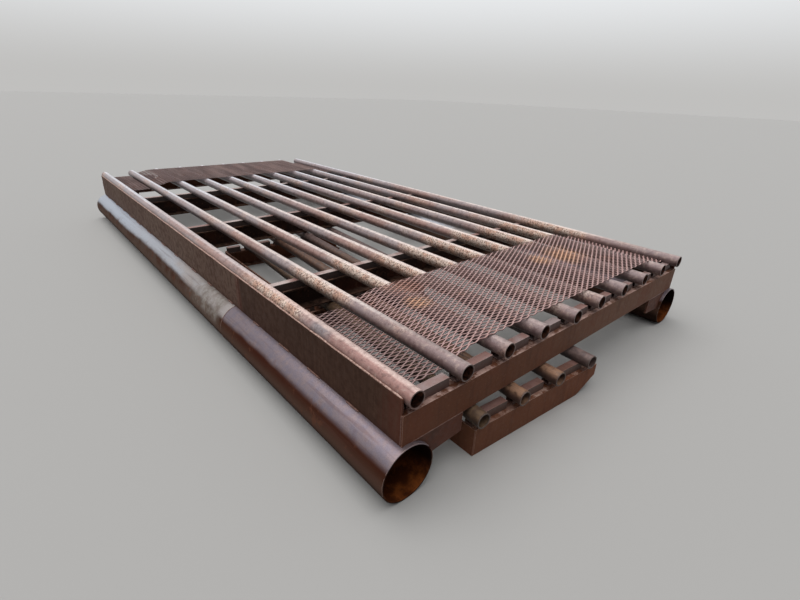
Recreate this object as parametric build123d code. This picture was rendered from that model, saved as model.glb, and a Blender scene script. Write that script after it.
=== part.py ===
from build123d import *
import os
from math import cos, radians, sin, sqrt

# Cattle grid, welded up from used oilfield pipe, channel and plate.
# Millimetres. +Z is up, the deck pipes run along Y, and the near ends are at -Y.
# The origin is on the ground, under the middle of the whole grid.
# Until the pieces are written, Y is measured from the near ends of the deck pipes.

# Deck pipes, numbered from the left side to the right side
deck_pipe_count = 10
deck_pipe_pitch = 262.0
deck_pipe_diameter = 73.0
deck_pipe_wall = 5.5
deck_length = 5084.0
long_pipe_number = 5
long_pipe_extra = 12.0

# Base pipes, each of two lengths butted end to end
base_pipe_diameter = 254.0
base_pipe_wall = 8.0
base_pipe_set_out = 20.0
base_pipe_setback = 4.0
base_pipe_joint = 1494.0

# Side plates, each of two lengths
side_plate_thickness = 8.0
side_plate_rise = 3.0
side_plate_foot = 2.0
side_plate_seam = 1425.0

# Channels across both ends and under the deck
channel_depth = 141.0
channel_flange = 70.0
channel_web = 8.0
channel_flange_thickness = 9.0
channel_root_radius = 8.0
end_setback = 21.0
cross_beam_fronts = (1215.0, 2572.0, 3772.0)

# Square tubes on the channels: short spacers between the pipes, or one long notched bar under them
spacer_width = 41.0
spacer_height = 43.0
spacer_wall = 4.0
spacer_setback = 25.0
pipe_notch = 14.5
pipe_seat = 8.0
spacer_gap = 14.0

# Root opening left for the welds where a piece is cut to a round pipe
weld_gap = 0.1

# Gusset plates beside the base pipes, under the end channels
gusset_thickness = 10.0
gusset_reach = 285.0
gusset_side_height = 97.0
gusset_slope = 25.0

# Expanded metal walkways, near both ends: a sheet on the middle pipes and a low strip on either side
sheet_thickness = 6.0
sheet_edge_droop = 22.0
sheet_edge_reach = 130.0
sheet_clearance = 0.3
strip_below_middle = 10.0
strip_inner_gap = 8.0
sheet_end_gap = 5.0
near_sheet_width = 685.0
far_sheet_width = 840.0

# Plain openings that stand for the diamonds of the expanded metal
mesh_bar_width = 30.0
sheet_opening_columns = 12
strip_opening_columns = 1
opening_rows = 5

# Loose lower section, which lies on the ground under the near end
lower_pipe_count = 4
lower_pipe_inset = 12.0
lower_pipe_overhang = 30.0
lower_left = 343.0
lower_front = -9.0
lower_turn = -4.0
lower_length = 2790.0
lower_channel_length = 912.0
lower_corner_cut_length = 142.0
lower_corner_cut_height = 77.0
lower_far_left_reach = 150.0

# Places that follow from the sizes above
deck_pipe_radius = deck_pipe_diameter / 2
base_pipe_radius = base_pipe_diameter / 2
half_deck = (deck_pipe_count - 1) * deck_pipe_pitch / 2
inner_half_width = half_deck + deck_pipe_radius
outer_half_width = inner_half_width + side_plate_thickness
base_pipe_x = half_deck + base_pipe_set_out
plate_off_crown = outer_half_width - base_pipe_x
frame_bottom = base_pipe_radius + sqrt(base_pipe_radius**2 - plate_off_crown**2)
pipe_above_channel = spacer_height - pipe_notch + deck_pipe_radius
deck_pipe_z = frame_bottom + channel_depth + pipe_above_channel
side_plate_top = deck_pipe_z + side_plate_rise
far_face = deck_length - end_setback
near_sheet_start = end_setback + spacer_setback + spacer_width + sheet_end_gap
far_sheet_end = far_face - spacer_setback - spacer_width - sheet_end_gap
lower_pipe_z = channel_depth + pipe_above_channel
lower_pipe_span = (lower_pipe_count - 1) * deck_pipe_pitch


def lowest_front():
    """Y of the foremost point of the loose lower section."""
    turn = radians(lower_turn)
    last_pipe = lower_pipe_inset + lower_pipe_span
    corner = last_pipe + deck_pipe_radius
    return lower_front + sin(turn) * corner - cos(turn) * lower_pipe_overhang


middle_y = (deck_length + lowest_front()) / 2


def deck_pipe_x(number):
    return (number - 1) * deck_pipe_pitch - half_deck


def block(x, y, z):
    """A box given by its low and high places along X, Y and Z."""
    size = (x[1] - x[0], y[1] - y[0], z[1] - z[0])
    return Pos(x[0], y[0], z[0]) * Box(*size, align=(Align.MIN, Align.MIN, Align.MIN))


def rod(x, z, radius, start, end):
    """A solid round bar along Y."""
    middle = (start + end) / 2
    return Pos(x, middle, z) * Rot(90, 0, 0) * Cylinder(radius, end - start)


def pipe(x, z, diameter, wall, start, end):
    outside = rod(x, z, diameter / 2, start, end)
    return outside - rod(x, z, diameter / 2 - wall, start - 1, end + 1)


def channel(x, face, bottom, inward):
    """A channel along X: its web's face is at Y = face, its flanges point along inward."""
    corner = (Align.MIN, Align.MIN)
    section = Rectangle(channel_flange, channel_depth, align=corner)
    hollow_depth = channel_depth - 2 * channel_flange_thickness
    hollow = Rectangle(channel_flange, hollow_depth, align=corner)
    section -= Pos(channel_web, channel_flange_thickness) * hollow
    roots = [v for v in section.vertices() if abs(v.X - channel_web) < 0.1]
    section = fillet(roots, channel_root_radius)
    bar = extrude(Plane.YZ * section, x[1] - x[0])
    if inward < 0:
        bar = mirror(bar, about=Plane.XZ)
    return Pos(x[0], face, bottom) * bar


def spacer(start, end, front, bottom, pipe_xs, pipe_z):
    """One square tube along X, notched where the pipes cross it."""
    back = front + spacer_width
    top = bottom + spacer_height
    tube = block((start, end), (front, back), (bottom, top))
    inner_y = (front + spacer_wall, back - spacer_wall)
    inner_z = (bottom + spacer_wall, top - spacer_wall)
    tube -= block((start - 1, end + 1), inner_y, inner_z)
    for x in pipe_xs:
        tube -= rod(x, pipe_z, deck_pipe_radius + weld_gap, front - 1, back + 1)
    return tube


def spacers(pipe_xs, front, bottom, pipe_z):
    """Square tubes between neighbouring pipes, each one cut to seat the pipe on its left."""
    pieces = []
    last = len(pipe_xs) - 2
    for i in range(len(pipe_xs) - 1):
        start = pipe_xs[i] - pipe_seat
        end = pipe_xs[i + 1] - deck_pipe_radius - spacer_gap
        if i == last:
            end = pipe_xs[i + 1] + pipe_seat
        pieces.append(spacer(start, end, front, bottom, pipe_xs[i : i + 2], pipe_z))
    return pieces


def both_base_pipes():
    """The space that the two base pipes take up, for coping what sits on them."""
    radius = base_pipe_radius + weld_gap
    return [rod(x, base_pipe_radius, radius, 0, deck_length) for x in (-base_pipe_x, base_pipe_x)]


parts = {}
coping = both_base_pipes()
deck_xs = [deck_pipe_x(n) for n in range(1, deck_pipe_count + 1)]

# Deck pipes
for number in range(1, deck_pipe_count + 1):
    start = -long_pipe_extra if number == long_pipe_number else 0.0
    x = deck_pipe_x(number)
    parts[f"deck_pipe_{number:02d}"] = pipe(
        x, deck_pipe_z, deck_pipe_diameter, deck_pipe_wall, start, deck_length
    )

# Base pipes
for side, sign in (("left", -1), ("right", 1)):
    for length, start, end in (
        ("near", base_pipe_setback, base_pipe_joint),
        ("far", base_pipe_joint, deck_length - base_pipe_setback),
    ):
        parts[f"base_pipe_{side}_{length}"] = pipe(
            sign * base_pipe_x, base_pipe_radius, base_pipe_diameter, base_pipe_wall, start, end
        )

# Side plates, between the webs of the end channels
plate_start = end_setback + channel_web
plate_end = far_face - channel_web
plate_height = (frame_bottom - side_plate_foot, side_plate_top)
plate_spaces = []
for side, sign in (("left", -1), ("right", 1)):
    faces = sorted((sign * inner_half_width, sign * outer_half_width))
    plate_spaces.append(block(faces, (plate_start, plate_end), plate_height))
    for length, start, end in (
        ("near", plate_start, side_plate_seam),
        ("far", side_plate_seam, plate_end),
    ):
        plate = block(faces, (start, end), plate_height)
        parts[f"side_plate_{side}_{length}"] = plate - coping

# End channels and cross beams
end_span = (-outer_half_width, outer_half_width)
beam_span = (-inner_half_width, inner_half_width)
end_coping = coping + plate_spaces
parts["end_channel_near"] = channel(end_span, end_setback, frame_bottom, 1) - end_coping
parts["end_channel_far"] = channel(end_span, far_face, frame_bottom, -1) - end_coping
for number, front in enumerate(cross_beam_fronts, 1):
    back = front + channel_flange
    parts[f"cross_beam_{number}"] = channel(beam_span, back, frame_bottom, -1) - coping

# Spacers on the end channels, and a notched bar on each cross beam
channel_top = frame_bottom + channel_depth
near_front = end_setback + spacer_setback
far_front = far_face - spacer_setback - spacer_width
for name, front in (("end_spacers_near", near_front), ("end_spacers_far", far_front)):
    parts[name] = Compound(children=spacers(deck_xs, front, channel_top, deck_pipe_z))
bar_start = deck_xs[0] - pipe_seat
bar_end = deck_xs[-1] + pipe_seat
for number, front in enumerate(cross_beam_fronts, 1):
    bar_front = front + (channel_flange - spacer_width) / 2
    bar = spacer(bar_start, bar_end, bar_front, channel_top, deck_xs, deck_pipe_z)
    parts[f"cross_bar_{number}"] = bar

# Gusset plates
for side, sign in (("left", -1), ("right", 1)):
    for end, face in (("near", end_setback), ("far", far_face - gusset_thickness)):
        inner_x = half_deck - gusset_reach
        low = frame_bottom - gusset_side_height
        outline = [
            (sign * base_pipe_x, frame_bottom),
            (sign * inner_x, frame_bottom),
            (sign * inner_x, low),
            (sign * base_pipe_x, low - gusset_slope),
        ]
        shape = make_face(Polyline(*outline, close=True))
        plate = extrude(Plane.XZ * shape, -gusset_thickness)
        parts[f"gusset_{side}_{end}"] = Pos(0, face, 0) * plate - coping


def cut_mesh(plate, x, y, columns):
    """Cuts the plain openings through a walkway plate that lies between the given places."""
    pitch_x = (x[1] - x[0] - mesh_bar_width) / columns
    pitch_y = (y[1] - y[0] - mesh_bar_width) / opening_rows
    opening = Box(pitch_x - mesh_bar_width, pitch_y - mesh_bar_width, 2 * deck_pipe_diameter)
    middle = Pos((x[0] + x[1]) / 2, (y[0] + y[1]) / 2, deck_pipe_z)
    places = GridLocations(pitch_x, pitch_y, columns, opening_rows)
    return plate - [middle * place * opening for place in places]


def walkway_sheet(y):
    """A sheet on the pipes' crowns, with its left edge bent down onto the second pipe's shoulder."""
    crown = deck_pipe_z + deck_pipe_radius + sheet_clearance
    low = crown - sheet_edge_droop
    edge_height = low - deck_pipe_z
    shoulder = sqrt(deck_pipe_radius**2 - edge_height**2) + sheet_clearance
    left = deck_pipe_x(2) + shoulder
    right = deck_pipe_x(deck_pipe_count - 1)
    half_way = left + sheet_edge_reach / 2
    bend_end = left + sheet_edge_reach
    under = Bezier((left, low), (half_way, low), (half_way, crown), (bend_end, crown))
    under += Line((bend_end, crown), (right, crown))
    over = Pos(0, sheet_thickness) * under
    sides = Line((left, low), (left, low + sheet_thickness))
    sides += Line((right, crown), (right, crown + sheet_thickness))
    face = make_face(under + over + sides)
    sheet = Pos(0, y[0], 0) * extrude(Plane.XZ * face, y[0] - y[1])
    return cut_mesh(sheet, (left, right), y, sheet_opening_columns)


def walkway_strip(side, y):
    """A flat strip between the two outermost pipes, held along the outer one."""
    top = deck_pipe_z - strip_below_middle
    flank = sqrt(deck_pipe_radius**2 - strip_below_middle**2)
    outer = half_deck - flank - sheet_clearance
    inner = half_deck - deck_pipe_pitch + flank + strip_inner_gap
    x = sorted((side * inner, side * outer))
    return cut_mesh(block(x, y, (top - sheet_thickness, top)), x, y, strip_opening_columns)


# Walkways
near_sheet = (near_sheet_start, near_sheet_start + near_sheet_width)
far_sheet = (far_sheet_end - far_sheet_width, far_sheet_end)
for end, y in (("near", near_sheet), ("far", far_sheet)):
    parts[f"walkway_sheet_{end}"] = walkway_sheet(y)
    parts[f"walkway_strip_left_{end}"] = walkway_strip(-1, y)
    parts[f"walkway_strip_right_{end}"] = walkway_strip(1, y)

# Loose lower section, made square to its own near channel and then turned into place
lower = {}
lower_xs = [lower_pipe_inset + i * deck_pipe_pitch for i in range(lower_pipe_count)]
for number, x in enumerate(lower_xs, 1):
    lower[f"lower_pipe_{number}"] = pipe(
        x, lower_pipe_z, deck_pipe_diameter, deck_pipe_wall,
        -lower_pipe_overhang, lower_length + lower_pipe_overhang,
    )
corner = [
    (lower_channel_length - lower_corner_cut_length, 0),
    (lower_channel_length, 0),
    (lower_channel_length, lower_corner_cut_height),
]
corner_face = make_face(Polyline(*corner, close=True))
corner_cut = Pos(0, -1, 0) * extrude(Plane.XZ * corner_face, -channel_flange - 2)
far_span = (-lower_far_left_reach, lower_channel_length)
lower["lower_channel_far"] = channel(far_span, lower_length, 0, -1)

# The lower section's left side plate closes its near channel and runs outwards to its far one
lower_plate_end = lower_length - channel_flange
plate_outline = [
    (0, 0),
    (side_plate_thickness, 0),
    (side_plate_thickness - lower_far_left_reach, lower_plate_end),
    (-lower_far_left_reach, lower_plate_end),
]
plate_shape = make_face(Polyline(*plate_outline, close=True))
lower["lower_side_plate"] = extrude(plate_shape, channel_depth)
near_channel = channel((0, lower_channel_length), 0, 0, 1)
lower["lower_channel_near"] = near_channel - corner_cut - lower["lower_side_plate"]


def lower_plate_inside(y):
    """X of the slanting plate's inner face."""
    return side_plate_thickness - y / lower_plate_end * lower_far_left_reach


middle_front = (lower_length - channel_flange) / 2
middle_span = (lower_plate_inside(middle_front), lower_channel_length)
lower["lower_cross_beam"] = channel(middle_span, middle_front + channel_flange, 0, -1)

# Spacers of the lower section, with one more where the slanting plate leaves room for it
lower_fronts = (
    ("lower_spacers_near", spacer_setback),
    ("lower_spacers_middle", middle_front + (channel_flange - spacer_width) / 2),
    ("lower_spacers_far", lower_length - spacer_setback - spacer_width),
)
for name, front in lower_fronts:
    tubes = spacers(lower_xs, front, channel_depth, lower_pipe_z)
    start = lower_plate_inside(front)
    end = lower_xs[0] - deck_pipe_radius - spacer_gap
    if start < end:
        tubes.append(spacer(start, end, front, channel_depth, [], lower_pipe_z))
    lower[name] = Compound(children=tubes)

corner_place = Location((lower_left - half_deck, lower_front, 0), (0, 0, lower_turn))
for name, piece in lower.items():
    parts[name] = corner_place * piece

# Write one file for each piece, with the origin under the middle of the grid
os.makedirs("parts", exist_ok=True)
for name, piece in parts.items():
    export_step(Pos(0, -middle_y, 0) * piece, f"parts/{name}.step")
print(len(parts), "pieces, origin moved by", round(middle_y, 3))
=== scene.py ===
import random
from math import asin, cos, pi, radians, sin, sqrt

import bmesh
import bpy
from mathutils import Matrix, Vector, noise


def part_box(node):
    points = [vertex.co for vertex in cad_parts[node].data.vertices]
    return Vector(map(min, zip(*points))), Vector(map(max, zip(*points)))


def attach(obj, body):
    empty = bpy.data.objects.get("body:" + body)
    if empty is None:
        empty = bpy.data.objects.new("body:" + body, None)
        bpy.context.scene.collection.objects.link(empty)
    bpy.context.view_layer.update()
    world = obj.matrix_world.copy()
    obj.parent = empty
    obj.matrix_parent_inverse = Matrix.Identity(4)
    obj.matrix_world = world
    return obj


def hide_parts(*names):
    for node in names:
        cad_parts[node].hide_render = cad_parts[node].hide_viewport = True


# Looks of the cattle grid, in metres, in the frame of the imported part.
# +Z is up, the deck pipes run along Y, and the near ends are at -Y.

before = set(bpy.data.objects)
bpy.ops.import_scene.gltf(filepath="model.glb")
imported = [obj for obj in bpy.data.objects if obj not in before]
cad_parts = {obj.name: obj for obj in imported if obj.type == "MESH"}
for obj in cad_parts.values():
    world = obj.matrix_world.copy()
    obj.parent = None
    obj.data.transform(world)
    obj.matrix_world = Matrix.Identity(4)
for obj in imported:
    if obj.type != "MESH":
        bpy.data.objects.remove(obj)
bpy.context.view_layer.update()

# Deck pipes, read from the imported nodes
deck_pipe_count = 10
first_low, first_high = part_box("deck_pipe_01")
last_low, last_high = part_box(f"deck_pipe_{deck_pipe_count:02d}")
pipe_radius = (first_high.x - first_low.x) / 2
pipe_z = (first_high.z + first_low.z) / 2
first_pipe_x = (first_high.x + first_low.x) / 2
last_pipe_x = (last_high.x + last_low.x) / 2
pipe_pitch = (last_pipe_x - first_pipe_x) / (deck_pipe_count - 1)
deck_start = first_low.y

# Base pipes and side plates
base_low, base_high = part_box("base_pipe_right_near")
base_radius = (base_high.x - base_low.x) / 2
base_x = (base_high.x + base_low.x) / 2
base_wall = 0.008
base_joint_y = base_high.y
plate_low, plate_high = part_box("side_plate_right_near")
plate_inside = plate_low.x
plate_outside = plate_high.x
plate_top = plate_high.z
plate_start = plate_low.y
plate_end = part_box("side_plate_right_far")[1].y
plate_seam_y = plate_high.y

# Channels and spacers
end_low, end_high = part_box("end_channel_near")
frame_bottom = end_low.z
channel_top = end_high.z
near_face = end_low.y
far_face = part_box("end_channel_far")[1].y
spacer_rows = ("end_spacers_near", "cross_bar_1", "cross_bar_2", "cross_bar_3", "end_spacers_far")

# Loose lower section, which is turned about its near left corner
lower_turn = radians(-4.0)
lower_front = -0.009
lower_left = 0.343
lower_corner = Vector((first_pipe_x + lower_left, deck_start + lower_front, 0))
lower_place = Matrix.Translation(lower_corner) @ Matrix.Rotation(lower_turn, 4, "Z")
lower_pipe_count = 4
lower_pipe_inset = 0.012
lower_low, lower_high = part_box("lower_pipe_1")
lower_pipe_z = (lower_high.z + lower_low.z) / 2
lower_channel_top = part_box("lower_channel_near")[1].z
lower_length = 2.790
spacer_setback = 0.025
spacer_width = 0.041

# Expanded metal, as sheared and stretched from plate, with the main sheets' left edges bent down
mesh_long_way = 0.0593
mesh_short_way = 0.0283
strand_width = 0.0076
strand_thickness = 0.0034
strand_tilt = radians(13)
bond_length = 0.005
sheet_clearance = 0.0003
sheet_edge_droop = 0.022
sheet_edge_reach = 0.130
sheet_stagger = 0.011
sheet_low, sheet_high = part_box("walkway_sheet_near")
sheet_on_crowns = pipe_z + pipe_radius + sheet_clearance
sheet_thickness = sheet_high.z - sheet_on_crowns

# Half widths of the weld beads
plate_top_bead = 0.0042
plate_foot_bead = 0.005
butt_bead = 0.0034
spacer_bead = 0.0028
spacer_foot_bead = 0.0034
frame_corner_bead = 0.0026
seam_bead = 0.0022
tack_bead = 0.0036

# Studio, with the camera where the photograph was taken from
floor_colour = (0.44, 0.43, 0.415, 1)
floor_reach = 60
horizon_colour = (0.53, 0.525, 0.515, 1)
backdrop_colour = (0.86, 0.88, 0.90, 1)
backdrop_fade_top = 0.22
sky_colour = (0.93, 0.96, 1.0, 1)
sky_strength = 0.30
lamp_strength = 2.3
lamp_spread = radians(75)
lamp_tilt = (radians(-8), radians(-10), 0)
camera_place = (-2.0742, -3.38673, 1.4212)
camera_yaw = radians(41.746)
camera_pitch = radians(24.935)
camera_roll = radians(2.16)
camera_lens = 20.276
camera_sensor = 36.0
camera_far_clip = 300


def deck_pipe_x(number):
    """X of a deck pipe's axis, counted from 1 at the left side."""
    return first_pipe_x + (number - 1) * pipe_pitch


def paint(red, green, blue):
    """A colour as a paint card gives it, 0 to 255, turned into the linear values that a shader takes."""
    steps = [value / 255 for value in (red, green, blue)]
    return [s / 12.92 if s < 0.04045 else ((s + 0.055) / 1.055) ** 2.4 for s in steps] + [1.0]


class Finish:
    """One procedural material on a piece's own object coordinates, built up node by node."""

    def __init__(self, name, roughness=0.6, specular=0.5, density=1.5):
        self.material = bpy.data.materials.new(name)
        self.material.use_nodes = True
        self.tree = self.material.node_tree
        self.tree.nodes.clear()
        output = self.node("ShaderNodeOutputMaterial")
        self.shader = self.node("ShaderNodeBsdfPrincipled")
        self.tree.links.new(self.shader.outputs[0], output.inputs[0])
        self.shader.inputs["Roughness"].default_value = roughness
        self.shader.inputs["Specular IOR Level"].default_value = specular
        self.shader.inputs["IOR"].default_value = density
        self.place = self.node("ShaderNodeTexCoord").outputs["Object"]
        self.facing = self.node("ShaderNodeNewGeometry").outputs["Normal"]
        self.x, self.y, self.z = self.split(self.place)
        self.face_x, _, self.up = self.split(self.facing)

    def node(self, kind, **settings):
        """Adds one shader node."""
        made = self.tree.nodes.new(kind)
        for key, value in settings.items():
            setattr(made, key, value)
        return made

    def feed(self, socket, value):
        """Links another node's output to a socket, or sets the socket's own value."""
        if isinstance(value, bpy.types.NodeSocket):
            self.tree.links.new(value, socket)
        else:
            socket.default_value = value

    def split(self, vector):
        """The x, y and z of a vector."""
        made = self.node("ShaderNodeSeparateXYZ")
        self.feed(made.inputs[0], vector)
        return tuple(made.outputs)

    def math(self, operation, *values):
        """One step of arithmetic on numbers or links."""
        made = self.node("ShaderNodeMath", operation=operation)
        for socket, value in zip(made.inputs, values):
            self.feed(socket, value)
        return made.outputs[0]

    def both(self, *shares):
        """Where every one of the shares holds."""
        result = shares[0]
        for share in shares[1:]:
            result = self.math("MULTIPLY", result, share)
        return result

    def ease(self, value, low, high, start=0.0, end=1.0):
        """Goes smoothly from start to end while the value goes from low to high."""
        made = self.node("ShaderNodeMapRange", interpolation_type="SMOOTHSTEP")
        for socket, number in zip(made.inputs, (value, low, high, start, end)):
            self.feed(socket, number)
        return made.outputs[0]

    def cloud(self, scale, detail=4.0, roughness=0.55, stretch=(1, 1, 1), shift=(0, 0, 0)):
        """Soft noise, with about so many blotches to the metre as scale says."""
        spot = self.node("ShaderNodeMapping")
        self.feed(spot.inputs["Vector"], self.place)
        spot.inputs["Location"].default_value = shift
        spot.inputs["Scale"].default_value = stretch
        made = self.node("ShaderNodeTexNoise")
        self.feed(made.inputs["Vector"], spot.outputs[0])
        made.inputs["Scale"].default_value = scale
        made.inputs["Detail"].default_value = detail
        made.inputs["Roughness"].default_value = roughness
        return made.outputs[0]

    def blend(self, share, low, high):
        """The low colour where share is 0 and the high one where it is 1."""
        made = self.node("ShaderNodeMix", data_type="RGBA")
        self.feed(made.inputs[0], share)
        self.feed(made.inputs[6], low)
        self.feed(made.inputs[7], high)
        return made.outputs[2]

    def shade(self, amount, colour):
        """The colour made darker: an amount of 1 leaves it, and 0 makes it black."""
        made = self.node("ShaderNodeMix", data_type="RGBA", blend_type="MULTIPLY")
        self.feed(made.inputs[0], 1.0)
        self.feed(made.inputs[6], colour)
        self.feed(made.inputs[7], amount)
        return made.outputs[2]

    def off_axis(self, across, height):
        """Distance from an axis along Y, from the distances across and up to it."""
        squares = self.math("MULTIPLY_ADD", across, across, self.math("MULTIPLY", height, height))
        return self.math("SQRT", squares)

    def spot(self, x, y, reach, raggedness):
        """A soft patch round one place, with an edge torn by the noise."""
        off_x = self.math("SUBTRACT", self.x, x)
        off_y = self.math("SUBTRACT", self.y, y)
        off = self.math("MULTIPLY_ADD", raggedness, reach, self.off_axis(off_x, off_y))
        return self.ease(off, reach * 0.7, reach * 1.5, 1, 0)

    def edges(self, radius=0.0025, reach=0.14):
        """How near a point is to a sharp edge, and the normal rounded over that edge."""
        rounded = self.node("ShaderNodeBevel", samples=4)
        rounded.inputs["Radius"].default_value = radius
        alike = self.node("ShaderNodeVectorMath", operation="DOT_PRODUCT")
        self.feed(alike.inputs[0], rounded.outputs[0])
        self.feed(alike.inputs[1], self.facing)
        return self.ease(alike.outputs["Value"], 1.0 - reach, 0.995, 1.0, 0.0), rounded.outputs[0]

    def relief(self, *layers, normal=None):
        """Bumps, each given as a pattern with its depth in metres."""
        for pattern, depth in layers:
            made = self.node("ShaderNodeBump")
            made.inputs["Distance"].default_value = depth
            self.feed(made.inputs["Height"], pattern)
            if normal:
                self.feed(made.inputs["Normal"], normal)
            normal = made.outputs[0]
        self.feed(self.shader.inputs["Normal"], normal)

    def done(self, colour, roughness, metal=0.0):
        """Feeds the shader and gives the material back."""
        self.feed(self.shader.inputs["Base Color"], colour)
        self.feed(self.shader.inputs["Roughness"], roughness)
        self.feed(self.shader.inputs["Metallic"], metal)
        return self.material


def stretched_along(amount, direction):
    """Scales for a pattern that runs long in one direction."""
    return tuple(amount if letter == direction else 1.0 for letter in "XYZ")


def deck_pipe_finish():
    """Mauve-grey pipe with a painted highlight on its crown and painted shade down its flanks, with cream
    and brown scale next to the near walkway.
    """
    f = Finish("rusted deck pipe", density=1.5)
    scale_start = (-1.42, -1.30)
    scale_end = (-0.93, -0.72)
    own = f.cloud(1.9, 1, stretch=(1, 0, 0), shift=(3.3, 0, 0))
    patches = f.cloud(2.4, 5, 0.6, stretch=(2.8, 0.8, 2.8))
    streaks = f.cloud(45, 4, 0.6, stretch=stretched_along(0.05, "Y"))
    mottle = f.cloud(38, 5, 0.65)
    flecks = f.cloud(100, 5, 0.75)
    grain = f.cloud(330, 3, 0.6)
    # Greys and roses along the middle, bluer towards the far end, darker at the near end
    colour = f.blend(f.ease(patches, 0.42, 0.60), paint(166, 150, 150), paint(172, 134, 124))
    colour = f.blend(f.ease(f.y, -0.4, 1.4, 0, 0.75), colour, paint(166, 158, 163))
    along = f.math("MULTIPLY_ADD", own, 0.4, f.y)
    near_end = f.ease(along, deck_start + 0.65, deck_start + 1.1, 0.85, 0)
    first_pipe = f.ease(f.x, first_pipe_x + 0.10, first_pipe_x + 0.12, 1, 0)
    colour = f.blend(near_end, colour, f.blend(first_pipe, paint(140, 116, 115), paint(172, 124, 114)))
    grey_patch = f.both(first_pipe, f.spot(first_pipe_x, -1.90, 0.10, f.cloud(9, 4)))
    colour = f.blend(grey_patch, colour, paint(146, 134, 136))
    colour = f.blend(f.ease(streaks, 0.48, 0.72, 0, 0.5), colour, paint(108, 78, 72))
    colour = f.blend(f.ease(mottle, 0.52, 0.66, 0, 0.55), colour, paint(198, 172, 160))
    colour = f.blend(f.ease(mottle, 0.47, 0.36, 0, 0.5), colour, paint(96, 66, 60))
    # Scale between the near walkway's far edge and a little past the first cross beam
    along = f.math("MULTIPLY_ADD", f.cloud(6, 3), 0.3, f.math("MULTIPLY_ADD", own, 0.5, f.y))
    band = f.both(f.ease(along, *scale_start), f.ease(along, *scale_end, 1, 0))
    scattered = f.ease(f.cloud(2.1, 4, 0.6, shift=(3, 1, 7)), 0.52, 0.64, 0, 0.5)
    scale = f.math("MAXIMUM", band, scattered)
    cream = f.blend(f.ease(f.cloud(18, 3), 0.42, 0.60), paint(238, 214, 196), paint(220, 176, 152))
    speckled = f.blend(f.ease(flecks, 0.43, 0.52), paint(100, 66, 52), cream)
    colour = f.blend(f.both(scale, f.ease(mottle, 0.28, 0.5, 0.55, 0.95)), colour, speckled)
    # Painted highlight for the sheen of the wet crown, leaning a little towards +X, and weaker at the near
    # ends, under the walkway and before it
    lean = f.math("MULTIPLY_ADD", f.face_x, 0.24, f.math("MULTIPLY", f.up, 0.97))
    middle = f.ease(f.x, deck_pipe_x(2) + 0.10, deck_pipe_x(2) + 0.12)
    wide_lean = f.math("MULTIPLY_ADD", middle, 0.10, lean)
    crown = f.both(f.ease(wide_lean, 0.78, 0.97), f.ease(mottle, 0.28, 0.58, 0.4, 0.95))
    crown = f.both(crown, f.ease(flecks, 0.34, 0.56, 0.6, 1.0))
    kept = f.math("MAXIMUM", first_pipe, f.ease(f.y, deck_start + 0.25, deck_start + 0.75, 0.25, 1))
    wet_sheen = f.blend(f.ease(f.y, 0.0, 1.2), paint(246, 230, 222), paint(236, 236, 243))
    wet_sheen = f.blend(f.both(first_pipe, f.ease(f.y, 0.3, 1.0, 1, 0)), wet_sheen, paint(222, 206, 204))
    wet_sheen = f.blend(f.both(first_pipe, f.ease(f.y, -1.6, -1.0, 1, 0)), wet_sheen, paint(238, 210, 200))
    colour = f.blend(f.both(crown, kept), colour, wet_sheen)
    # Painted shade, darkest on the undersides and a little lighter on the pipes from the third on
    painted_flank_shade = f.math("MULTIPLY_ADD", middle, 0.18, f.ease(f.up, -0.25, 0.82, 0.30, 1.0))
    colour = f.shade(f.math("MINIMUM", painted_flank_shade, 1.0), colour)
    colour = f.blend(f.ease(grain, 0.38, 0.7, 0, 0.25), colour, paint(62, 42, 38))
    edge, rounded = f.edges(0.002)
    colour = f.blend(f.math("MULTIPLY", edge, 0.55), colour, paint(196, 170, 160))
    # Dark bores, found by the distance from the nearest pipe's axis
    wrapped = f.math("WRAP", f.x, first_pipe_x + pipe_pitch / 2, first_pipe_x - pipe_pitch / 2)
    off = f.off_axis(f.math("SUBTRACT", wrapped, first_pipe_x), f.math("SUBTRACT", f.z, pipe_z))
    inside = f.ease(off, pipe_radius - 0.0042, pipe_radius - 0.0032, 1, 0)
    rust = f.blend(f.ease(mottle, 0.4, 0.65), paint(34, 20, 15), paint(84, 48, 32))
    colour = f.blend(inside, colour, rust)
    roughness = f.math("ADD", f.ease(mottle, 0.3, 0.75, 0.30, 0.50), f.math("MULTIPLY", scale, 0.2))
    f.relief((flecks, 0.0005), (grain, 0.0002), normal=rounded)
    return f.done(colour, roughness, f.ease(lean, 0.5, 0.95, 0, 0.25))


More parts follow.
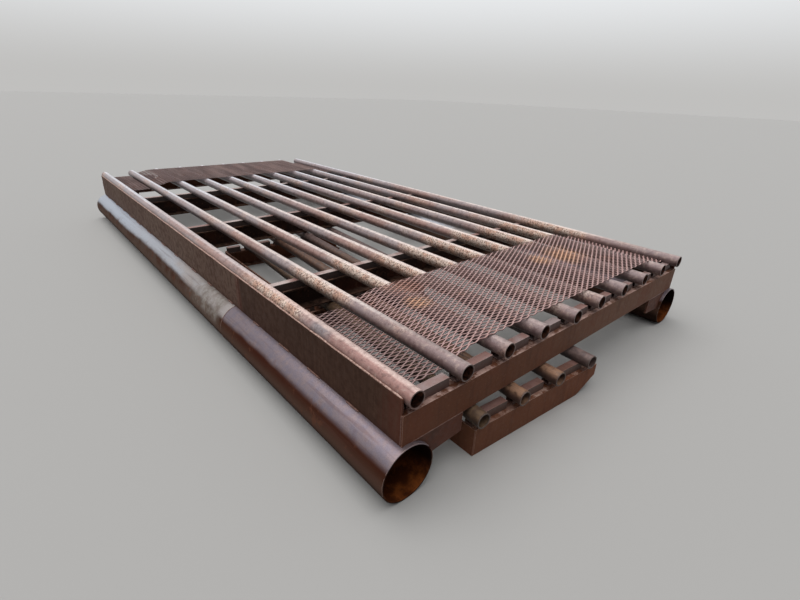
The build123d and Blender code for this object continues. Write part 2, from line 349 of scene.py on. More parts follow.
def base_pipe_finish():
    """Bluish mauve above and maroon below on the near lengths, grey and blotched on the far ones, with a
    painted bluish reflection in the upper colours and painted shade below the axis.
    """
    f = Finish("rusted base pipe", density=1.08)
    across = f.math("SUBTRACT", f.math("ABSOLUTE", f.x), base_x)
    height = f.math("SUBTRACT", f.z, base_radius)
    wide = f.cloud(5.0, 5, 0.6, stretch=stretched_along(0.35, "Y"))
    blotches = f.cloud(7, 6, 0.7, shift=(1, 4, 2))
    mottle = f.cloud(24, 6, 0.62)
    streaks = f.cloud(50, 4, 0.6, stretch=stretched_along(0.04, "Y"))
    grain = f.cloud(260, 3, 0.6)
    far = f.ease(f.y, base_joint_y - 0.002, base_joint_y + 0.002)
    farther = f.ease(f.math("MULTIPLY_ADD", wide, 0.8, f.y), 0.4, 2.0)
    # Upper colours: the pipe's own film, partly painted reflection of the bluish sky, bluest on the farther
    # length
    near_top = f.blend(f.ease(mottle, 0.35, 0.7), paint(126, 117, 126), paint(140, 124, 125))
    far_top = f.blend(f.ease(wide, 0.40, 0.60), paint(178, 179, 185), paint(172, 163, 160))
    far_top = f.blend(farther, far_top, paint(183, 189, 200))
    top = f.blend(far, near_top, far_top)
    near_low = f.blend(f.ease(wide, 0.4, 0.65), paint(62, 31, 21), paint(68, 40, 28))
    far_low = f.blend(f.ease(blotches, 0.44, 0.60), paint(80, 64, 56), paint(68, 44, 33))
    low = f.blend(far, near_low, far_low)
    low = f.blend(f.ease(height, 0.06, 0.0, 0, 0.45), low, paint(104, 84, 72))
    line = f.math("ADD", height, f.math("MULTIPLY_ADD", wide, 0.05, -0.025))
    line = f.math("ADD", line, f.ease(f.y, 0.4, 2.2, 0, 0.012))
    upper = f.ease(line, 0.060, 0.090)
    colour = f.blend(upper, low, top)
    # Dried mud past the joint, and rust coming through elsewhere
    muddy = f.both(f.ease(f.y, base_joint_y + 0.02, base_joint_y + 0.12), f.ease(f.y, -0.75, -0.25, 1, 0))
    muddy = f.both(muddy, f.ease(height, -0.03, 0.06), f.ease(blotches, 0.36, 0.60, 0.25, 0.85))
    mud = f.blend(f.ease(mottle, 0.38, 0.62), paint(120, 107, 97), paint(152, 145, 138))
    colour = f.blend(muddy, colour, mud)
    breaks = f.cloud(11, 6, 0.7, shift=(6, 2, 9))
    rusty = f.both(f.ease(breaks, 0.56, 0.65, 0, 0.65), f.ease(height, 0.12, 0.04))
    colour = f.blend(rusty, colour, paint(104, 66, 50))
    colour = f.blend(f.ease(streaks, 0.50, 0.72, 0, 0.35), colour, paint(88, 60, 54))
    # Painted shade, darker below the axis
    colour = f.shade(f.ease(height, -0.055, 0.0, 0.28, 1.0), colour)
    colour = f.blend(f.ease(grain, 0.38, 0.7, 0, 0.2), colour, paint(58, 38, 34))
    edge, rounded = f.edges(0.003)
    chipped = f.ease(f.cloud(40, 4, 0.7), 0.40, 0.58)
    worn = f.both(edge, chipped, f.ease(height, -0.12, 0.06, 0.3, 1.0))
    colour = f.blend(f.math("MULTIPLY", worn, 0.85), colour, paint(206, 180, 168))
    # Orange-brown bore, dark along its bottom
    off = f.off_axis(across, height)
    inside = f.ease(off, base_radius - base_wall * 0.65, base_radius - base_wall * 0.5, 1, 0)
    rust = f.blend(f.ease(f.cloud(14, 6, 0.7), 0.4, 0.64), paint(70, 34, 16), paint(122, 66, 30))
    rust = f.blend(f.ease(height, -0.09, 0.0), rust, paint(22, 11, 8))
    colour = f.blend(inside, colour, rust)
    f.relief((mottle, 0.0006), (grain, 0.0002), normal=rounded)
    roughness = f.math("MAXIMUM", f.ease(upper, 0.0, 1.0, 0.62, 0.30), f.math("MULTIPLY", inside, 0.8))
    wet_sheen = f.math("MULTIPLY", upper, f.ease(inside, 0, 1, 0.50, 0))
    return f.done(colour, roughness, wet_sheen)


def plate_finish():
    """Dark brown plate with faint upright runs, redder near the near end and at its seam."""
    f = Finish("rusted side plate", specular=0.15)
    runs = f.cloud(60, 4, 0.6, stretch=stretched_along(0.07, "Z"))
    wide = f.cloud(2.4, 5, 0.6)
    mottle = f.cloud(30, 6, 0.65)
    grain = f.cloud(300, 3, 0.6)
    near = f.blend(f.ease(wide, 0.38, 0.64), paint(58, 36, 24), paint(66, 43, 31))
    far = f.blend(f.ease(wide, 0.38, 0.64), paint(90, 67, 56), paint(99, 78, 66))
    colour = f.blend(f.ease(f.y, plate_seam_y - 0.001, plate_seam_y + 0.001), near, far)
    colour = f.blend(f.ease(runs, 0.44, 0.72, 0, 0.30), colour, paint(98, 70, 55))
    colour = f.blend(f.ease(mottle, 0.44, 0.70, 0, 0.50), colour, paint(46, 28, 21))
    along = f.math("MULTIPLY_ADD", runs, 0.3, f.y)
    near_corner = f.ease(along, plate_start + 0.12, plate_start + 0.34, 0.6, 0)
    colour = f.blend(near_corner, colour, paint(96, 50, 36))
    off_seam = f.math("ABSOLUTE", f.math("SUBTRACT", f.y, plate_seam_y))
    colour = f.blend(f.ease(off_seam, 0.010, 0.05, 0.4, 0), colour, paint(96, 54, 42))
    low = f.ease(f.z, frame_bottom + 0.004, frame_bottom + 0.03, 0.5, 0)
    colour = f.blend(low, colour, paint(60, 38, 30))
    colour = f.blend(f.ease(grain, 0.38, 0.7, 0, 0.2), colour, paint(48, 32, 28))
    edge, rounded = f.edges(0.0025)
    colour = f.blend(f.math("MULTIPLY", edge, 0.6), colour, paint(160, 124, 110))
    f.relief((mottle, 0.0005), (grain, 0.0002), normal=rounded)
    return f.done(colour, f.ease(mottle, 0.3, 0.75, 0.6, 0.85))


def channel_finish(name, left, right, top, worn):
    """Brown channel, redder at its left end, with a top flange paled by dust and a painted highlight,
    painted shade on faces turned down, and worn edges.
    """
    f = Finish(name, specular=0.15)
    runs = f.cloud(34, 4, 0.6, stretch=stretched_along(0.12, "Z"))
    wide = f.cloud(5, 5, 0.6, stretch=stretched_along(0.5, "Z"))
    mottle = f.cloud(36, 6, 0.65)
    grain = f.cloud(300, 3, 0.6)
    colour = f.blend(f.ease(f.math("MULTIPLY_ADD", wide, 0.8, f.x), -0.6, 0.9), left, right)
    colour = f.blend(f.ease(runs, 0.46, 0.72, 0, 0.34), colour, paint(52, 34, 28))
    colour = f.blend(f.ease(wide, 0.50, 0.64, 0, 0.45), colour, paint(104, 58, 40))
    colour = f.blend(f.ease(mottle, 0.54, 0.68, 0, 0.40), colour, paint(128, 92, 76))
    # Pale patches on up-facing faces: partly dust, partly painted highlight on the top flange
    dust = f.cloud(14, 5, 0.65, shift=(4, 9, 1))
    dust_and_highlight = f.both(f.ease(f.up, 0.6, 0.95), f.ease(dust, 0.42, 0.55))
    pale_spots = f.both(dust_and_highlight, f.ease(f.cloud(30, 4, 0.6, shift=(1, 3, 8)), 0.50, 0.62))
    colour = f.blend(pale_spots, f.blend(dust_and_highlight, colour, top), worn)
    # Painted shade on faces turned down
    colour = f.shade(f.ease(f.up, -0.9, -0.1, 0.4, 1.0), colour)
    colour = f.blend(f.ease(grain, 0.38, 0.7, 0, 0.2), colour, paint(46, 30, 26))
    edge, rounded = f.edges(0.003)
    colour = f.blend(f.both(edge, f.ease(mottle, 0.3, 0.55, 0.5, 0.9)), colour, worn)
    f.relief((mottle, 0.0005), (grain, 0.0002), normal=rounded)
    return f.done(colour, f.ease(mottle, 0.3, 0.75, 0.55, 0.82))


def spacer_finish(name, top, side, worn):
    """Square tube, pale on top with bright worn edges, and painted shade on its sides and underside."""
    f = Finish(name, density=1.6)
    wide = f.cloud(3.2, 4, 0.6, shift=(5, 0, 2))
    mottle = f.cloud(42, 6, 0.65)
    grain = f.cloud(320, 3, 0.6)
    crown = f.blend(f.ease(wide, 0.40, 0.56), top, paint(142, 106, 98))
    # Painted shade: the sides take the darker side colour by where they face
    colour = f.blend(f.ease(f.up, 0.5, 0.9), side, crown)
    colour = f.blend(f.ease(mottle, 0.54, 0.72, 0, 0.45), colour, paint(104, 70, 62))
    colour = f.blend(f.ease(grain, 0.38, 0.7, 0, 0.25), colour, paint(66, 44, 40))
    # More painted shade on faces turned down
    colour = f.shade(f.ease(f.up, -0.9, -0.1, 0.5, 1.0), colour)
    edge, rounded = f.edges(0.0035)
    colour = f.blend(f.both(edge, f.ease(f.up, 0.3, 0.8, 0, 0.85)), colour, worn)
    f.relief((mottle, 0.0005), (grain, 0.0002), normal=rounded)
    return f.done(colour, f.ease(mottle, 0.3, 0.75, 0.40, 0.75))


def gusset_finish():
    """Brick-brown plate with pale scuffs."""
    f = Finish("rusted gusset plate", specular=0.3)
    wide = f.cloud(9, 5, 0.6)
    mottle = f.cloud(34, 6, 0.65)
    grain = f.cloud(300, 3, 0.6)
    colour = f.blend(f.ease(wide, 0.4, 0.62), paint(84, 46, 32), paint(62, 38, 29))
    colour = f.blend(f.ease(mottle, 0.56, 0.74, 0, 0.5), colour, paint(124, 78, 58))
    colour = f.blend(f.ease(grain, 0.38, 0.7, 0, 0.25), colour, paint(48, 30, 24))
    edge, rounded = f.edges(0.003)
    colour = f.blend(f.math("MULTIPLY", edge, 0.6), colour, paint(170, 130, 110))
    f.relief((mottle, 0.0005), (grain, 0.0002), normal=rounded)
    return f.done(colour, f.ease(mottle, 0.3, 0.75, 0.6, 0.85))


def mesh_finish():
    """Rose-brown strands with painted highlights on their tops, painted shade below and on the near left
    strip, a few orange patches, and paler at the far end with painted highlights in place of folds.
    """
    f = Finish("rusted expanded metal", density=1.6)
    orange_places = ((0.56, -2.02, 0.20), (0.34, -1.98, 0.12), (-0.70, -1.98, 0.10))
    salmon_place = (-0.62, -1.80, 0.16)
    far = f.ease(f.y, 0, 0.1)
    patches = f.cloud(3.4, 5, 0.62, shift=(2, 6, 1))
    ragged = f.cloud(9, 4, 0.65, shift=(8, 3, 5))
    mottle = f.cloud(70, 4, 0.65)
    grain = f.cloud(380, 3, 0.6)
    colour = f.blend(f.ease(patches, 0.42, 0.62), paint(92, 64, 64), paint(100, 58, 50))
    # Painted highlight on the strands' up-facing sides
    colour = f.blend(f.ease(f.up, 0.5, 0.92, 0, 0.85), colour, paint(202, 162, 156))
    # Painted shade on the near sheet's strip between the first two pipes
    strip = f.ease(f.x, deck_pipe_x(2) - 0.02, deck_pipe_x(2) + 0.02, 1, 0)
    near_strip_shade = f.both(strip, f.ease(f.y, 0, 0.1, 1, 0))
    colour = f.shade(f.ease(near_strip_shade, 0, 1, 1.0, 0.62), colour)
    colour = f.blend(f.math("MULTIPLY", far, 0.60), colour, paint(196, 172, 168))
    # Painted highlights in streaks along Y, standing in for folds that the sheet does not have
    painted_fold_highlights = f.ease(f.cloud(9, 4, 0.6, stretch=stretched_along(0.12, "Y"), shift=(4, 4, 4)), 0.36, 0.68)
    colour = f.blend(f.both(painted_fold_highlights, far, 0.70), colour, paint(232, 200, 192))
    orange = 0.0
    for place in orange_places:
        orange = f.math("MAXIMUM", orange, f.spot(*place, ragged))
    colour = f.blend(f.math("MULTIPLY", orange, 0.80), colour, paint(236, 178, 138))
    salmon = f.math("MAXIMUM", f.spot(*salmon_place, ragged), f.ease(ragged, 0.58, 0.70, 0, 0.6))
    colour = f.blend(f.math("MULTIPLY", salmon, 0.8), colour, paint(190, 136, 118))
    colour = f.blend(f.ease(mottle, 0.52, 0.72, 0, 0.5), colour, paint(84, 50, 42))
    # Painted shade on faces turned down
    colour = f.shade(f.ease(f.up, -0.6, 0.6, 0.3, 1.0), colour)
    colour = f.blend(f.ease(grain, 0.38, 0.7, 0, 0.25), colour, paint(58, 38, 34))
    f.relief((grain, 0.0002))
    return f.done(colour, f.ease(mottle, 0.3, 0.75, 0.42, 0.75))


def lower_pipe_finish():
    """Brown pipes: olive on the first, orange tops on the next two, mauve-grey on the last, dark rims."""
    f = Finish("rusted lower pipe", density=1.6)
    streaks = f.cloud(40, 4, 0.6, stretch=stretched_along(0.08, "Y"))
    mottle = f.cloud(30, 6, 0.65)
    grain = f.cloud(320, 3, 0.6)
    first = f.ease(f.x, lower_corner.x + 0.10, lower_corner.x + 0.16, 1, 0)
    last = f.ease(f.x, lower_corner.x + 0.62, lower_corner.x + 0.70)
    colour = f.blend(f.ease(mottle, 0.4, 0.66), paint(86, 58, 45), paint(114, 82, 66))
    olive = f.blend(f.ease(mottle, 0.42, 0.6), paint(84, 62, 46), paint(112, 86, 60))
    colour = f.blend(first, colour, olive)
    mauve = f.blend(f.ease(mottle, 0.44, 0.6), paint(104, 84, 80), paint(136, 112, 106))
    colour = f.blend(last, colour, mauve)
    between = f.math("SUBTRACT", 1.0, f.math("MAXIMUM", first, last))
    orange = f.both(between, f.ease(f.up, 0.2, 0.8), f.ease(streaks, 0.38, 0.56, 0.2, 1.0))
    orange = f.both(orange, f.ease(mottle, 0.34, 0.5))
    orange = f.both(orange, f.ease(f.y, deck_start + 0.3, deck_start + 0.9, 1.0, 0.35))
    colour = f.blend(f.math("MULTIPLY", orange, 0.8), colour, paint(178, 134, 102))
    colour = f.blend(f.ease(streaks, 0.5, 0.72, 0, 0.5), colour, paint(80, 54, 44))
    # Painted shade on faces turned down
    colour = f.shade(f.ease(f.up, -0.2, 0.7, 0.35, 1.0), colour)
    colour = f.blend(f.ease(grain, 0.38, 0.7, 0, 0.3), colour, paint(52, 34, 28))
    off_x = f.math("SUBTRACT", f.x, lower_corner.x)
    off_y = f.math("SUBTRACT", f.y, lower_corner.y)
    forward = f.math("MULTIPLY", off_y, cos(lower_turn))
    along = f.math("MULTIPLY_ADD", off_x, -sin(lower_turn), forward)
    rim = f.ease(f.math("MULTIPLY_ADD", mottle, 0.02, along), -0.024, -0.006, 0.8, 0)
    colour = f.blend(rim, colour, paint(62, 48, 42))
    edge, rounded = f.edges(0.002)
    colour = f.blend(f.math("MULTIPLY", edge, 0.45), colour, paint(170, 146, 134))
    f.relief((mottle, 0.0005), (grain, 0.0002), normal=rounded)
    return f.done(colour, f.ease(mottle, 0.3, 0.75, 0.42, 0.75))


def weld_finish(name, light, dark):
    """Rusted weld metal with painted shade on its underside, so its crown is brighter."""
    f = Finish(name)
    mottle = f.cloud(80, 5, 0.7)
    grain = f.cloud(420, 3, 0.6)
    colour = f.blend(f.ease(mottle, 0.4, 0.64), light, dark)
    # Painted shade on faces turned down
    colour = f.shade(f.ease(f.up, -0.8, 0.1, 0.4, 1.0), colour)
    colour = f.blend(f.ease(grain, 0.4, 0.7, 0, 0.25), colour, paint(60, 40, 34))
    f.relief((mottle, 0.0005), (grain, 0.0002))
    return f.done(colour, f.ease(mottle, 0.3, 0.75, 0.42, 0.7))


def sheet_height(x):
    """Height of a walkway sheet's underside: low at its left edge, and from there up to the crowns."""
    share = min(1.0, max(0.0, x - sheet_low.x) / sheet_edge_reach)
    return sheet_on_crowns - sheet_edge_droop * (1 + cos(pi * share)) / 2


def one_strand(length):
    """A zigzag strand along X: bonds and slants by turns, with its near edge tilted up."""
    bm = bmesh.new()
    rise = strand_width * sin(strand_tilt)
    reach = mesh_short_way / 2 - strand_width * cos(strand_tilt)
    section = bmesh.ops.create_grid(bm, x_segments=1, y_segments=1, size=0.5)["verts"]
    bmesh.ops.scale(bm, vec=(strand_width, strand_thickness, 1), verts=section)
    upright = Matrix.Rotation(pi / 2, 4, "X") @ Matrix.Rotation(pi / 2, 4, "Y")
    tilted = Matrix.Rotation(-strand_tilt, 4, "X") @ upright
    bmesh.ops.transform(bm, matrix=tilted, verts=section)
    bmesh.ops.translate(bm, vec=(-bond_length / 2, -reach / 2, -rise / 2), verts=section)
    face = bm.faces[:]
    slant = mesh_long_way / 2 - bond_length
    x = -bond_length / 2
    way = 1
    while x < length:
        for step in ((bond_length, 0, 0), (slant, way * reach, way * rise)):
            made = bmesh.ops.extrude_face_region(bm, geom=face)["geom"]
            if x > -bond_length / 2 or step[1]:
                bmesh.ops.delete(bm, geom=face, context="FACES_ONLY")
            verts = [g for g in made if isinstance(g, bmesh.types.BMVert)]
            face = [g for g in made if isinstance(g, bmesh.types.BMFace)]
            bmesh.ops.translate(bm, vec=step, verts=verts)
            x += step[0]
        way = -way
    bmesh.ops.recalc_face_normals(bm, faces=bm.faces)
    mesh = bpy.data.meshes.new("strand")
    bm.to_mesh(mesh)
    bm.free()
    return mesh


def trim(bm, place, direction):
    """Shears the mesh along a plane and closes the cut strands."""
    geom = bm.verts[:] + bm.edges[:] + bm.faces[:]
    cut = bmesh.ops.bisect_plane(bm, geom=geom, plane_co=place, plane_no=direction, clear_outer=True)
    edges = [g for g in cut["geom_cut"] if isinstance(g, bmesh.types.BMEdge) and g.is_boundary]
    bmesh.ops.holes_fill(bm, edges=edges, sides=8)


def expanded_metal(node, shift):
    """A walkway of strands laid row on row, sheared to the node's size and bent like it."""
    low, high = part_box(node)
    bent = high.z - low.z > 1.5 * sheet_thickness
    strand = one_strand(high.x - low.x + 2 * mesh_long_way)
    spare_rows = 3
    rows = int((high.y - low.y) / (mesh_short_way / 2)) + spare_rows
    bm = bmesh.new()
    for row in range(rows):
        before = len(bm.verts)
        bm.from_mesh(strand)
        bm.verts.ensure_lookup_table()
        ways_back = 1.25 if row % 2 else 0.75
        x = low.x - mesh_long_way * ways_back + shift
        y = low.y - mesh_short_way * 0.3 + row * mesh_short_way / 2
        bmesh.ops.translate(bm, vec=(x, y, 0), verts=bm.verts[before:])
    sides = ((low, (0, -1, 0)), (high, (0, 1, 0)), (low, (-1, 0, 0)), (high, (1, 0, 0)))
    for corner, direction in sides:
        trim(bm, corner, direction)
    for vert in bm.verts:
        vert.co.z += (sheet_height(vert.co.x) if bent else low.z) + sheet_thickness / 2
    bpy.data.meshes.remove(strand)
    piece = new_piece(node.replace("walkway", "walkway_mesh"), bm, mesh_steel)
    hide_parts(node)


def new_piece(name, bm, material, smooth=False):
    """Makes a mesh from bm an object of the grid."""
    mesh = bpy.data.meshes.new(name)
    bm.to_mesh(mesh)
    bm.free()
    for polygon in mesh.polygons:
        polygon.use_smooth = smooth
    mesh.materials.append(material)
    piece = bpy.data.objects.new(name, mesh)
    bpy.context.scene.collection.objects.link(piece)
    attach(piece, "root")
    return piece


def lumps(place, amount):
    """A little more or less than 1, the same at the same place each run."""
    return 1 + amount * noise.noise(place)


def drift(place):
    """A small direction that changes slowly from place to place."""
    slow = place * 9
    shifts = (Vector((0, 0, 0)), Vector((5, 5, 5)), Vector((-3, -3, -3)))
    return Vector([noise.noise(slow + shift) for shift in shifts])


def lay_bead(target, path, radius, lumpiness, wander):
    """Adds one weld bead along a path of points: a lumpy rod, closed and tapered at both ends."""
    bm = bmesh.new()
    ring = bmesh.ops.create_circle(bm, segments=6, radius=1, cap_ends=True)["verts"]
    count = len(path)
    before = Matrix.Identity(4)
    face = bm.faces[:]
    for i, point in enumerate(path):
        ahead = path[min(i + 1, count - 1)] - path[max(i - 1, 0)]
        taper = 0.45 if i in (0, count - 1) else 1.0
        size = radius * taper * lumps(point * 70, lumpiness)
        turn = ahead.to_track_quat("Z", "Y").to_matrix().to_4x4()
        place = Matrix.Translation(point + drift(point) * wander)
        here = place @ turn @ Matrix.Diagonal((size, size, size, 1))
        if i:
            made = bmesh.ops.extrude_face_region(bm, geom=face)["geom"]
            if i > 1:
                bmesh.ops.delete(bm, geom=face, context="FACES_ONLY")
            ring = [g for g in made if isinstance(g, bmesh.types.BMVert)]
            face = [g for g in made if isinstance(g, bmesh.types.BMFace)]
        bmesh.ops.transform(bm, matrix=here @ before.inverted(), verts=ring)
        before = here
    bmesh.ops.recalc_face_normals(bm, faces=bm.faces)
    mesh = bpy.data.meshes.new("bead")
    bm.to_mesh(mesh)
    bm.free()
    target.from_mesh(mesh)
    bpy.data.meshes.remove(mesh)


def straight(start, end, step):
    """Points from start to end, about a step apart."""
    start = Vector(start)
    end = Vector(end)
    count = max(2, round((end - start).length / step))
    return [start.lerp(end, i / count) for i in range(count + 1)]


def arc(centre, radius, start, end, step):
    """Points round an axis along Y, from one angle to another, 0 at +X and a quarter turn at +Z."""
    count = max(3, round(abs(end - start) * radius / step))
    angles = [start + (end - start) * i / count for i in range(count + 1)]
    return [Vector(centre) + Vector((cos(a), 0, sin(a))) * radius for a in angles]


def plate_top_welds():
    """The long ragged bead between each outer deck pipe and its side plate's top edge."""
    bm = bmesh.new()
    for side in (-1, 1):
        x = side * (plate_inside + 0.003)
        path = straight((x, plate_start + 0.004, plate_top), (x, plate_end - 0.004, plate_top), 0.008)
        lay_bead(bm, path, plate_top_bead, lumpiness=0.35, wander=0.0022)
    piece = new_piece("plate_top_welds", bm, bright_weld, smooth=True)


def plate_foot_welds(chance):
    """Stitch welds between the side plates and the base pipes, outside and inside."""
    bm = bmesh.new()
    for side in (-1, 1):
        for face_x, out in ((plate_outside, 1), (plate_inside, -1)):
            x = face_x + out * 0.002
            z = base_radius + sqrt(base_radius**2 - (x - base_x) ** 2) + 0.002
            y = plate_start + 0.25
            while y < plate_end - 0.2:
                length = chance.uniform(0.07, 0.13)
                path = straight((side * x, y, z), (side * x, y + length, z), 0.007)
                lay_bead(bm, path, plate_foot_bead, lumpiness=0.3, wander=0.001)
                y += chance.uniform(0.27, 0.42)
    piece = new_piece("plate_foot_welds", bm, dark_weld, smooth=True)


def base_pipe_butt_welds():
    """A low bead round each base pipe where its two lengths meet, flush at the side and off the ground."""
    bm = bmesh.new()
    sunk = 0.0012
    right_end = radians(-52)
    left_end = radians(232)
    widest = base_radius - butt_bead * 1.35
    for side in (-1, 1):
        centre = Vector((side * base_x, base_joint_y, base_radius))
        path = arc(centre, base_radius - sunk, right_end, left_end, 0.008)
        for point in path:
            point.x = centre.x + max(-widest, min(widest, point.x - centre.x))
        lay_bead(bm, path, butt_bead, lumpiness=0.3, wander=0.0004)
    piece = new_piece("base_pipe_butt_welds", bm, dark_weld, smooth=True)


def spacer_welds_at(bm, x, z, radius, top, foot, front, back, place=Matrix.Identity(4)):
    """Welds one pipe to the tube beside it: along the tube's top, and down its front and back."""
    proud = 0.001
    lowest = radians(-78)
    side = x + sqrt(radius**2 - (z - top) ** 2) + proud
    corner = asin((top - z) / radius)
    low = max(-asin(min(1.0, (z - foot) / radius)), lowest)
    runs = [
        straight((side, front, top), (side, back, top), 0.005),
        arc((x, front, z), radius + proud, corner, low, 0.005),
        arc((x, back, z), radius + proud, corner, low, 0.005),
    ]
    for run in runs:
        lay_bead(bm, [place @ point for point in run], spacer_bead, lumpiness=0.35, wander=0.0006)


def deck_spacer_welds():
    """Welds between the deck pipes and the square tubes that they are seated in."""
    bm = bmesh.new()
    for row in spacer_rows:
        low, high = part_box(row)
        for number in range(1, deck_pipe_count):
            x = deck_pipe_x(number)
            spacer_welds_at(bm, x, pipe_z, pipe_radius, high.z, low.z, low.y, high.y)
    piece = new_piece("deck_spacer_welds", bm, bright_weld, smooth=True)


def lower_spacer_welds():
    """The same welds on the near and far rows of the loose lower section."""
    bm = bmesh.new()
    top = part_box("lower_spacers_near")[1].z
    foot = lower_channel_top
    for front in (spacer_setback, lower_length - spacer_setback - spacer_width):
        for number in range(lower_pipe_count - 1):
            x = lower_pipe_inset + number * pipe_pitch
            back = front + spacer_width
            spacer_welds_at(bm, x, lower_pipe_z, pipe_radius, top, foot, front, back, lower_place)
    piece = new_piece("lower_spacer_welds", bm, dark_weld, smooth=True)


def spacer_foot_welds(chance):
    """Short beads that hold each row of square tube down to the channel's flange."""
    bm = bmesh.new()
    for row in spacer_rows:
        low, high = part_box(row)
        for number in range(1, deck_pipe_count):
            for y in (low.y - 0.001, high.y + 0.001):
                start = deck_pipe_x(number) + pipe_radius + chance.uniform(0.01, 0.03)
                end = start + chance.uniform(0.04, 0.07)
                path = straight((start, y, low.z), (end, y, low.z), 0.006)
                lay_bead(bm, path, spacer_foot_bead, lumpiness=0.3, wander=0.0006)
    piece = new_piece("spacer_foot_welds", bm, dark_weld, smooth=True)


def frame_corner_welds():
    """Upright beads where the end channels meet the side plates, and along the gussets' tops."""
    bm = bmesh.new()
    for side in (-1, 1):
        x = side * (plate_outside + 0.0003)
        for y in (plate_start, plate_end):
            path = straight((x, y, frame_bottom + 0.004), (x, y, channel_top), 0.006)
            lay_bead(bm, path, frame_corner_bead, lumpiness=0.3, wander=0.0006)
        for end, face in (("near", near_face), ("far", far_face)):
            name = f"gusset_{'left' if side < 0 else 'right'}_{end}"
            low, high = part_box(name)
            inner = high.x if side < 0 else low.x
            outer = side * (base_x - 0.02)
            y = face + (0.0006 if end == "near" else -0.0006)
            path = straight((inner, y, frame_bottom), (outer, y, frame_bottom), 0.007)
            lay_bead(bm, path, frame_corner_bead, lumpiness=0.3, wander=0.0006)
    piece = new_piece("frame_corner_welds", bm, dark_weld, smooth=True)


def seam_welds():
    """Low upright beads over the side plates' butt seams."""
    bm = bmesh.new()
    foot = frame_bottom + 0.006
    top = plate_top - 0.004
    for side in (-1, 1):
        for x in (side * (plate_inside + 0.0004), side * (plate_outside - 0.0004)):
            path = straight((x, plate_seam_y, foot), (x, plate_seam_y, top), 0.007)
            lay_bead(bm, path, seam_bead, lumpiness=0.35, wander=0.0005)
    piece = new_piece("side_plate_seam_welds", bm, dark_weld, smooth=True)


def sheet_tack_welds(chance):
    """Tacks that hold the walkway sheets to the pipes' crowns."""
    bm = bmesh.new()
    z = pipe_z + pipe_radius + 0.0016
    for node in ("walkway_sheet_near", "walkway_sheet_far"):
        low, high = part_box(node)
        for number in range(3, deck_pipe_count):
            y = low.y + chance.uniform(0.02, 0.06)
            while y < high.y - 0.02:
                x = deck_pipe_x(number) + chance.uniform(-0.006, 0.006)
                length = chance.uniform(0.012, 0.022)
                path = straight((x, y, z), (x, y + length, z), 0.005)
                lay_bead(bm, path, tack_bead, lumpiness=0.3, wander=0.0004)
                y += chance.uniform(0.15, 0.24)
    piece = new_piece("sheet_tack_welds", bm, bright_weld, smooth=True)


def give_finishes():
    """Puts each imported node's finish into its material slots."""
    finishes = (
        ("deck_pipe", deck_pipe_steel),
        ("base_pipe", base_pipe_steel),
        ("side_plate", side_plate_steel),
        ("end_channel", channel_steel),
        ("cross_beam", painted_shade_beam_steel),
        ("gusset", gusset_steel),
        ("end_spacers", spacer_steel),
        ("cross_bar", cross_bar_steel),
        ("walkway", mesh_steel),
        ("lower_pipe", lower_pipe_steel),
        ("lower_spacers", lower_spacer_steel),
        ("lower_", lower_channel_steel),
    )
    for name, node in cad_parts.items():
        material = next(finish for start, finish in finishes if name.startswith(start))
        if not node.material_slots:
            node.data.materials.append(material)
        for slot in node.material_slots:
            slot.material = material


def pale_floor():
    """A plain floor, which keeps the grid's shadow."""
    bm = bmesh.new()
    bmesh.ops.create_grid(bm, x_segments=1, y_segments=1, size=floor_reach)
    mesh = bpy.data.meshes.new("floor")
    bm.to_mesh(mesh)
    bm.free()
    floor_object = bpy.data.objects.new("floor", mesh)
    bpy.context.scene.collection.objects.link(floor_object)
    f = Finish("pale floor", roughness=0.9)
    f.shader.inputs["Base Color"].default_value = floor_colour
    mesh.materials.append(f.material)


def soft_sky():
    """Soft light from all sides, and a pale backdrop that meets the floor at the horizon."""
    world = bpy.data.worlds.new("studio")
    bpy.context.scene.world = world
    world.use_nodes = True
    tree = world.node_tree
    tree.nodes.clear()
    output = tree.nodes.new("ShaderNodeOutputWorld")
    lamp = tree.nodes.new("ShaderNodeBackground")
    seen = tree.nodes.new("ShaderNodeBackground")
    choose = tree.nodes.new("ShaderNodeMixShader")
    lamp.inputs["Color"].default_value = sky_colour
    lamp.inputs["Strength"].default_value = sky_strength
    seen.inputs["Strength"].default_value = 1.0
    place = tree.nodes.new("ShaderNodeTexCoord")
    parts = tree.nodes.new("ShaderNodeSeparateXYZ")
    rise = tree.nodes.new("ShaderNodeMapRange")
    rise.interpolation_type = "SMOOTHSTEP"
    rise.inputs["From Min"].default_value = 0.0
    rise.inputs["From Max"].default_value = backdrop_fade_top
    fade = tree.nodes.new("ShaderNodeMix")
    fade.data_type = "RGBA"
    fade.inputs[6].default_value = horizon_colour
    fade.inputs[7].default_value = backdrop_colour
    tree.links.new(place.outputs["Generated"], parts.inputs[0])
    tree.links.new(parts.outputs["Z"], rise.inputs["Value"])
    tree.links.new(rise.outputs[0], fade.inputs[0])
    tree.links.new(fade.outputs[2], seen.inputs["Color"])
    path = tree.nodes.new("ShaderNodeLightPath")
    shown = path.outputs["Is Camera Ray"]
    for other in ("Is Glossy Ray", "Is Transmission Ray"):
        either = tree.nodes.new("ShaderNodeMath")
        either.operation = "MAXIMUM"
        tree.links.new(shown, either.inputs[0])
        tree.links.new(path.outputs[other], either.inputs[1])
        shown = either.outputs[0]
    tree.links.new(shown, choose.inputs[0])
    tree.links.new(lamp.outputs[0], choose.inputs[1])
    tree.links.new(seen.outputs[0], choose.inputs[2])
    tree.links.new(choose.outputs[0], output.inputs[0])


def overhead_lamp():
    """Broad soft light from overhead, the same all over the floor."""
    light = bpy.data.lights.new("overhead lamp", "SUN")
    light.angle = lamp_spread
    light.energy = lamp_strength
    lamp = bpy.data.objects.new("overhead lamp", light)
    lamp.rotation_euler = lamp_tilt
    bpy.context.scene.collection.objects.link(lamp)


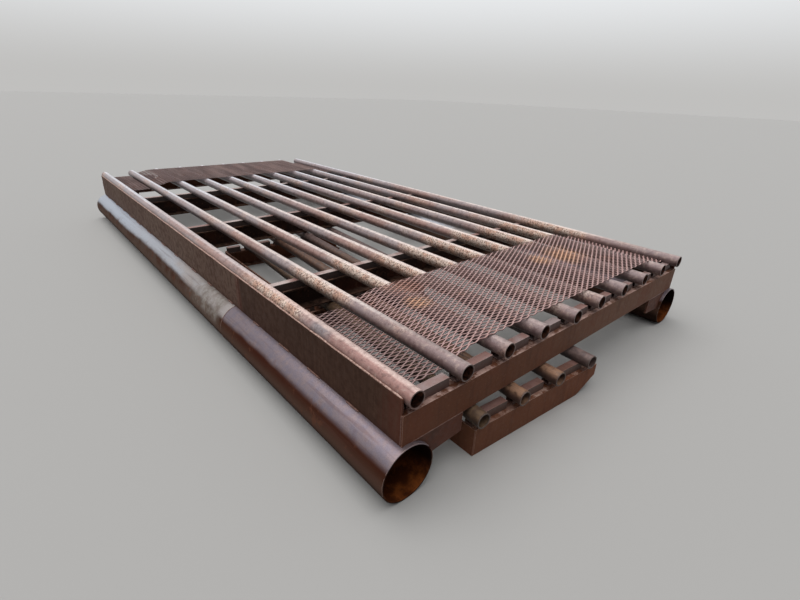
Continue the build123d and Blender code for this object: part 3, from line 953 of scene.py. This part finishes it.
def photo_camera():
    """The camera where the photograph was taken from."""
    data = bpy.data.cameras.new("camera")
    data.sensor_width = camera_sensor
    data.lens = camera_lens
    data.clip_end = camera_far_clip
    camera = bpy.data.objects.new("camera", data)
    heading = Matrix.Rotation(-camera_yaw, 4, "Z") @ Matrix.Rotation(pi / 2 - camera_pitch, 4, "X")
    turn = heading @ Matrix.Rotation(camera_roll, 4, "Z")
    camera.matrix_world = Matrix.Translation(camera_place) @ turn
    bpy.context.scene.collection.objects.link(camera)
    bpy.context.scene.camera = camera


deck_pipe_steel = deck_pipe_finish()
base_pipe_steel = base_pipe_finish()
side_plate_steel = plate_finish()
channel_steel = channel_finish(
    "rusted channel", paint(96, 58, 40), paint(110, 78, 62), paint(160, 130, 120), paint(188, 158, 146)
)
# Cross beams: the channel finish in darker colours, as painted shade under the deck
painted_shade_beam_steel = channel_finish(
    "cross beam in painted shade", paint(48, 32, 26), paint(54, 36, 30), paint(96, 72, 60), paint(112, 84, 70)
)
lower_channel_steel = channel_finish(
    "rusted lower channel", paint(106, 66, 46), paint(116, 68, 46), paint(140, 106, 92), paint(176, 146, 132)
)
# The second colour of each spacer finish is the painted shade of its sides
spacer_steel = spacer_finish(
    "rusted spacer tube", paint(162, 144, 142), paint(66, 42, 36), paint(214, 194, 184)
)
cross_bar_steel = spacer_finish(
    "pale notched bar", paint(196, 178, 172), paint(44, 30, 26), paint(222, 206, 198)
)
lower_spacer_steel = spacer_finish(
    "brown spacer tube", paint(122, 84, 70), paint(70, 46, 36), paint(186, 150, 134)
)
gusset_steel = gusset_finish()
mesh_steel = mesh_finish()
lower_pipe_steel = lower_pipe_finish()
bright_weld = weld_finish("pale weld bead", paint(206, 172, 158), paint(150, 112, 100))
dark_weld = weld_finish("dark weld bead", paint(118, 82, 70), paint(84, 54, 44))

give_finishes()
walkways = sorted(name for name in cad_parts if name.startswith("walkway"))
for number, node in enumerate(walkways):
    expanded_metal(node, sheet_stagger * number)
chance = random.Random(7)
plate_top_welds()
plate_foot_welds(chance)
base_pipe_butt_welds()
deck_spacer_welds()
lower_spacer_welds()
spacer_foot_welds(chance)
frame_corner_welds()
seam_welds()
sheet_tack_welds(chance)
pale_floor()
soft_sky()
overhead_lamp()
photo_camera()

scene = bpy.context.scene
scene.view_settings.view_transform = "Standard"
